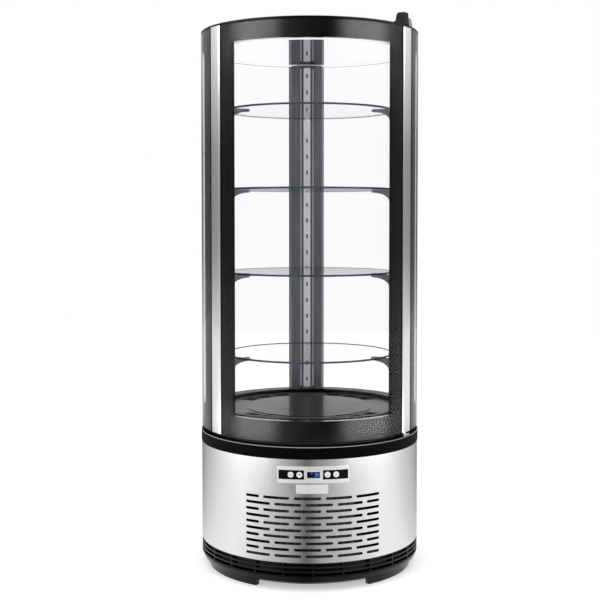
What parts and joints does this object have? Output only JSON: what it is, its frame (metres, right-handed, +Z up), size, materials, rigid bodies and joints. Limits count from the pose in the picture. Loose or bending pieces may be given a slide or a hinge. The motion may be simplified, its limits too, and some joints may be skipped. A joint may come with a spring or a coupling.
{
  "type": "refrigerated display case",
  "caption": "Free-standing round refrigerated cake display case with a curved glass door, glass shelves, stainless slotted base and louvred plinth.",
  "frame": {"origin": "on the floor, on the drum's vertical axis", "axes": "+Z up, -Y towards the door and control panel, +X to the right seen from the front"},
  "size_m": [0.683, 0.683, 1.6928],
  "materials": {
    "black_plastic": "satin",
    "gloss_black": "gloss",
    "dark_paint": "satin",
    "grey_frame": "satin",
    "stainless": "brushed",
    "aluminium": "brushed",
    "white_plastic": "satin",
    "display": "gloss",
    "glass": "clear",
    "led": "diffusing",
    "copper": "bare",
    "rubber": "matte",
    "foam_skin": "satin"
  },
  "bodies": {
    "case": {"plinth": "black_plastic", "base_pan": "dark_paint", "body_panel": "stainless", "rear_grille": "dark_paint", "collar_ring": "gloss_black", "control_bezel": "aluminium", "control_panel": "gloss_black", "display_window": "display", "control_box": "dark_paint", "insulated_base": "foam_skin", "deck_plate": "dark_paint", "deck_glass": "glass", "lower_frame_ring": "black_plastic", "upper_frame_ring": "black_plastic", "front_post_left": "black_plastic", "front_post_right": "black_plastic", "rear_post": "grey_frame", "rear_cover_strip": "black_plastic", "led_strip_left": "led", "led_strip_right": "led", "shelf_rail_left": "grey_frame", "shelf_rail_right": "grey_frame", "rear_pilaster": "aluminium", "glass_shelf_1": "glass", "glass_shelf_2": "glass", "glass_shelf_3": "glass", "glass_shelf_4": "glass", "side_glass_left_outer": "glass", "side_glass_left_inner": "glass", "side_glass_right_outer": "glass", "side_glass_right_inner": "glass", "ceiling_panel": "foam_skin", "top_cover": "black_plastic", "upper_hinge_cap": "black_plastic", "lower_hinge_bracket": "stainless", "condenser": "aluminium", "fan_shroud": "dark_paint", "condenser_fan_motor": "dark_paint", "compressor": "gloss_black", "compressor_mount": "rubber", "evaporation_tray": "dark_paint", "filter_drier": "copper", "suction_line": "copper", "discharge_line": "copper", "liquid_line": "copper", "power_inlet": "black_plastic", "evaporator": "aluminium", "evaporator_fan_motor": "dark_paint"},
    "door": {"door_outer_glass": "glass", "door_inner_glass": "glass", "door_frame": "black_plastic", "door_gasket": "rubber", "door_handle_profile": "aluminium", "door_hinge_profile": "aluminium"},
    "button_power": {"button_power": "white_plastic"},
    "button_set": {"button_set": "white_plastic"},
    "button_down": {"button_down": "white_plastic"},
    "button_up": {"button_up": "white_plastic"},
    "condenser_fan": {"condenser_fan": "black_plastic"},
    "evaporator_fan": {"evaporator_fan": "black_plastic"}
  },
  "joints": [
    {"name": "door_hinge", "type": "hinge", "parent": "case", "child": "door", "pos_m": [0.2788, -0.17085, 0.437], "axis": [0, 0, 1], "range_deg": [0, 110]},
    {"name": "button_power_press", "type": "slide", "parent": "case", "child": "button_power", "axis": [0.1942, 0.981, 0], "range_m": [0, 0.0015], "stiffness_N_per_m": 400},
    {"name": "button_set_press", "type": "slide", "parent": "case", "child": "button_set", "axis": [0.1201, 0.9928, 0], "range_m": [0, 0.0015], "stiffness_N_per_m": 400},
    {"name": "button_down_press", "type": "slide", "parent": "case", "child": "button_down", "axis": [-0.1201, 0.9928, 0], "range_m": [0, 0.0015], "stiffness_N_per_m": 400},
    {"name": "button_up_press", "type": "slide", "parent": "case", "child": "button_up", "axis": [-0.1942, 0.981, 0], "range_m": [0, 0.0015], "stiffness_N_per_m": 400},
    {"name": "condenser_fan_spin", "type": "hinge", "parent": "case", "child": "condenser_fan", "pos_m": [0, -0.2007, 0.1726], "axis": [0, 1, 0], "continuous": true},
    {"name": "evaporator_fan_spin", "type": "hinge", "parent": "case", "child": "evaporator_fan", "pos_m": [0, 0.01, 0.3678], "axis": [0, 1, 0], "continuous": true}
  ]
}
